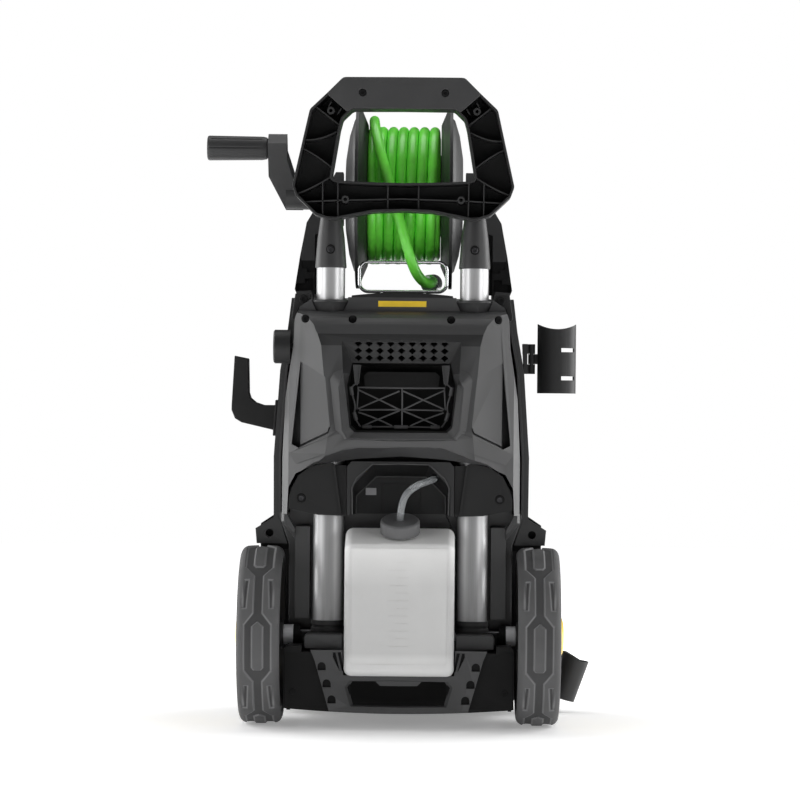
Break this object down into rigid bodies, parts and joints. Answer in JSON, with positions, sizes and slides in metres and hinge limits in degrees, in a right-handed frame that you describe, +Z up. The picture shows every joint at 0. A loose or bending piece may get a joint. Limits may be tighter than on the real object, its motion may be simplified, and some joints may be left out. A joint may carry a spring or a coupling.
{
  "type": "pressure washer",
  "caption": "Upright electric pressure washer on two wheels, with a telescopic handle, cranked hose reel, detergent bottle, storage net and side holders.",
  "frame": {"origin": "centre of the bounding box's underside, on the floor", "axes": "+X to the right seen from behind the machine, +Y to the machine's front, +Z up"},
  "size_m": [0.4496, 0.3358, 0.727],
  "materials": {
    "tyre": "matte black tyre with chevron grooves",
    "black_plastic": "finely grained black moulding",
    "housing_plastic": "satin dark grey-black housing",
    "grey_plastic": "grained mid grey trim",
    "yellow_plastic": "glossy orange-yellow",
    "zinc_steel": "plain zinc-plated steel",
    "dark_steel": "blackened steel",
    "foot_rubber": "matte black rubber",
    "tube_aluminium": "satin silver tube",
    "net_rubber": "black elastic cord",
    "plate_metal": "bare satin plate",
    "hose_green": "glossy green hose",
    "connector_chrome": "polished",
    "brass": "plain machined",
    "bottle_plastic": "translucent grey bottle",
    "clear_tube": "clear flexible tube",
    "motor_steel": "dull painted laminations",
    "pump_aluminium": "raw casting"
  },
  "bodies": {
    "machine": {"axle": "zinc_steel", "axle_rings": "dark_steel", "base_chassis": "black_plastic", "rear_skirt": "grey_plastic", "rubber_feet": "foot_rubber", "lower_tubes": "tube_aluminium", "tube_collars": "black_plastic", "rear_cover": "housing_plastic", "vent_grille": "black_plastic", "storage_net": "net_rubber", "tube_clamps": "housing_plastic", "clamp_screws": "dark_steel", "bottle_hood": "housing_plastic", "rating_plate": "plate_metal", "yellow_labels": "yellow_plastic", "lower_rear_panel": "housing_plastic", "front_shell": "housing_plastic", "side_plates": "black_plastic", "reel_towers": "black_plastic", "hose_lead": "hose_green", "hose_connector": "connector_chrome", "hose_guide": "connector_chrome", "reel_swivel": "brass", "switch_box": "black_plastic", "cable_hook": "black_plastic", "holster_bracket": "black_plastic", "lance_cup": "black_plastic", "cable_gland": "black_plastic", "suction_tube": "clear_tube", "motor_stator": "motor_steel", "pump_body": "pump_aluminium", "pump_head": "pump_aluminium", "pump_cradle": "zinc_steel", "water_inlet": "brass", "feed_pipe": "zinc_steel"},
    "wheel_left": {"tyre_left": "tyre", "rim_left": "black_plastic", "hub_cap_left": "yellow_plastic"},
    "wheel_right": {"tyre_right": "tyre", "rim_right": "black_plastic", "hub_cap_right": "yellow_plastic"},
    "handle": {"upper_tubes": "tube_aluminium", "sleeves": "black_plastic", "handle_grip": "black_plastic", "grip_rear_cover": "black_plastic", "handle_screws": "dark_steel"},
    "reel": {"reel_drum": "black_plastic", "reel_shaft": "zinc_steel", "reel_flanges": "black_plastic", "reel_hub_covers": "black_plastic", "hose_coil": "hose_green", "crank_arm": "black_plastic"},
    "crank_handle": {"crank_grip": "black_plastic"},
    "knob": {"power_knob": "black_plastic"},
    "bottle": {"detergent_bottle": "bottle_plastic", "dip_tube": "bottle_plastic"},
    "cap": {"bottle_cap": "black_plastic"},
    "holster": {"gun_holster": "black_plastic"},
    "rotor": {"motor_rotor": "zinc_steel", "cooling_fan": "black_plastic"}
  },
  "joints": [
    {"name": "wheel_left_spin", "type": "hinge", "parent": "machine", "child": "wheel_left", "pos_m": [-0.15475, -0.067, 0.1], "axis": [1, 0, 0], "continuous": true},
    {"name": "wheel_right_spin", "type": "hinge", "parent": "machine", "child": "wheel_right", "pos_m": [0.15475, -0.067, 0.1], "axis": [1, 0, 0], "continuous": true},
    {"name": "handle_slide", "type": "slide", "parent": "machine", "child": "handle", "axis": [0, 0, 1], "range_m": [0, 0.2]},
    {"name": "reel_spin", "type": "hinge", "parent": "machine", "child": "reel", "pos_m": [0, 0.06, 0.6038], "axis": [1, 0, 0], "continuous": true},
    {"name": "crank_grip_spin", "type": "hinge", "parent": "reel", "child": "crank_handle", "pos_m": [0, 0.02533, 0.6552], "axis": [1, 0, 0], "continuous": true},
    {"name": "power_knob_turn", "type": "hinge", "parent": "machine", "child": "knob", "pos_m": [-0.135, -0.069, 0.424], "axis": [-1, 0, 0], "range_deg": [0, 90]},
    {"name": "bottle_slide", "type": "slide", "parent": "machine", "child": "bottle", "axis": [0, -1, 0], "range_m": [0, 0.11], "deforming": ["suction_tube"]},
    {"name": "bottle_cap_turn", "type": "hinge", "parent": "bottle", "child": "cap", "pos_m": [0, -0.102, 0.2159], "axis": [0, -0.3584, 0.9336], "range_deg": [0, 360]},
    {"name": "holster_fold", "type": "hinge", "parent": "machine", "child": "holster", "pos_m": [0.1475, -0.021, 0.413], "axis": [0, 0, 1], "range_deg": [-45, 45]},
    {"name": "rotor_spin", "type": "hinge", "parent": "machine", "child": "rotor", "pos_m": [0, 0.045, 0.31], "axis": [0, 0, 1], "continuous": true}
  ]
}
